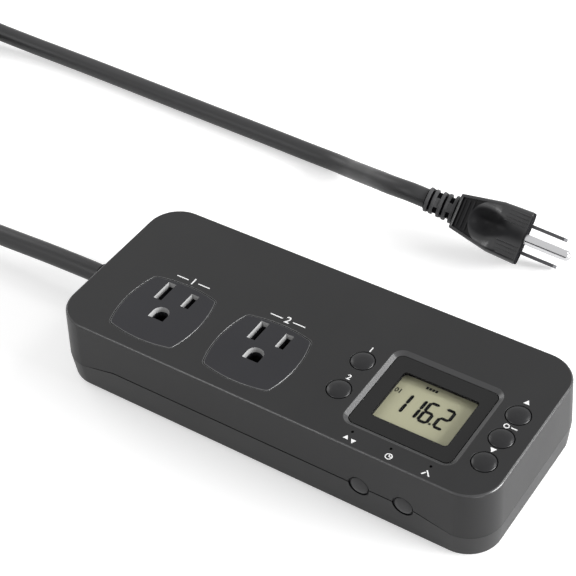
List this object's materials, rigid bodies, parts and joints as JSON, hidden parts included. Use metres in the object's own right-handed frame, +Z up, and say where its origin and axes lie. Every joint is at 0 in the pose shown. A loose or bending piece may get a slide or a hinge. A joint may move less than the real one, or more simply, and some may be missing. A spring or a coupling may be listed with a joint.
{
  "type": "surge protector",
  "caption": "Flat black surge protector with grounded outlets, a segment display, push buttons, reset breakers and a coiled mains cord with a moulded plug.",
  "frame": {"origin": "centre of the housing on the standing surface, midway between its ends and its long sides", "axes": "+X along the housing from the cord end to the display end, -Y to the long side with the reset caps, +Z up"},
  "size_m": [0.4927, 0.1855, 0.0369],
  "materials": {
    "housing": "fine grained dark grey ABS",
    "panel": "smooth black plastic with a slight blue cast",
    "window": "clear window, tinted by what is under it",
    "lcd": "grey-green liquid crystal panel",
    "board": "green solder mask on glass fibre",
    "chip": "black epoxy",
    "strip_rubber": "pink conductive rubber strips",
    "lamp": "clear epoxy lamps",
    "plunger": "brown plungers",
    "brass": "bare brass strip",
    "carrier": "natural nylon",
    "steel": "zinc plated steel",
    "relay": "blue relay case",
    "varistor": "blue coated discs",
    "capacitor_film": "yellow film capacitor",
    "transformer": "ferrite core with tape",
    "capacitor": "dark blue sleeve",
    "fuse": "glass fuse in steel clips",
    "wire_black": "black insulation",
    "wire_white": "white insulation",
    "wire_green": "green insulation",
    "cord": "soft black jacket",
    "foot": "black rubber",
    "plug": "moulded soft black plastic",
    "nickel": "nickel plated brass"
  },
  "bodies": {
    "housing": {"top_cover": "housing", "bottom_cover": "housing", "outlet_face_1": "panel", "outlet_face_2": "panel", "display_window": "window", "display_frame": "panel", "lcd_panel": "lcd", "contact_strips": "strip_rubber", "display_board": "board", "control_chip": "chip", "indicator_lamps": "lamp", "tact_switches": "chip", "line_contact_1": "brass", "line_contact_2": "brass", "neutral_bus": "brass", "ground_bus": "brass", "contact_carrier": "carrier", "carrier_screws": "steel", "main_board": "board", "relay_1": "relay", "relay_2": "relay", "varistors": "varistor", "safety_capacitor": "capacitor_film", "transformer": "transformer", "filter_capacitor": "capacitor", "fuse": "fuse", "board_header": "chip", "breaker_1": "chip", "breaker_2": "chip", "line_wires": "wire_black", "neutral_wires": "wire_white", "ground_wire": "wire_green", "cord_bushing": "plug", "cord_clamp": "carrier", "clamp_screws": "steel", "jacket_end": "cord", "board_screws": "steel", "display_screws": "steel", "case_screws": "steel", "rubber_feet": "foot", "cord_near": "cord", "cord_coil": "cord", "cord_far": "cord", "coil_tie": "cord", "plug_body": "plug", "plug_blade_line": "nickel", "plug_blade_neutral": "nickel", "plug_ground_pin": "nickel"},
    "push_outlet_1": {"button_outlet_1": "panel", "plunger_outlet_1": "plunger"},
    "push_outlet_2": {"button_outlet_2": "panel", "plunger_outlet_2": "plunger"},
    "push_up": {"button_up": "panel", "plunger_up": "plunger"},
    "push_bypass": {"button_bypass": "panel", "plunger_bypass": "plunger"},
    "push_down": {"button_down": "panel", "plunger_down": "plunger"},
    "reset_1": {"reset_cap_1": "panel"},
    "reset_2": {"reset_cap_2": "panel"}
  },
  "joints": [
    {"name": "press_outlet_1", "type": "slide", "parent": "housing", "child": "push_outlet_1", "axis": [0, 0, -1], "range_m": [0, 0.0005], "stiffness_N_per_m": 1200},
    {"name": "press_outlet_2", "type": "slide", "parent": "housing", "child": "push_outlet_2", "axis": [0, 0, -1], "range_m": [0, 0.0005], "stiffness_N_per_m": 1200},
    {"name": "press_up", "type": "slide", "parent": "housing", "child": "push_up", "axis": [0, 0, -1], "range_m": [0, 0.0005], "stiffness_N_per_m": 1200},
    {"name": "press_bypass", "type": "slide", "parent": "housing", "child": "push_bypass", "axis": [0, 0, -1], "range_m": [0, 0.0005], "stiffness_N_per_m": 1200},
    {"name": "press_down", "type": "slide", "parent": "housing", "child": "push_down", "axis": [0, 0, -1], "range_m": [0, 0.0005], "stiffness_N_per_m": 1200},
    {"name": "reset_1_travel", "type": "slide", "parent": "housing", "child": "reset_1", "axis": [0, -1, 0], "range_m": [0, 0.002]},
    {"name": "reset_2_travel", "type": "slide", "parent": "housing", "child": "reset_2", "axis": [0, -1, 0], "range_m": [0, 0.002]}
  ]
}
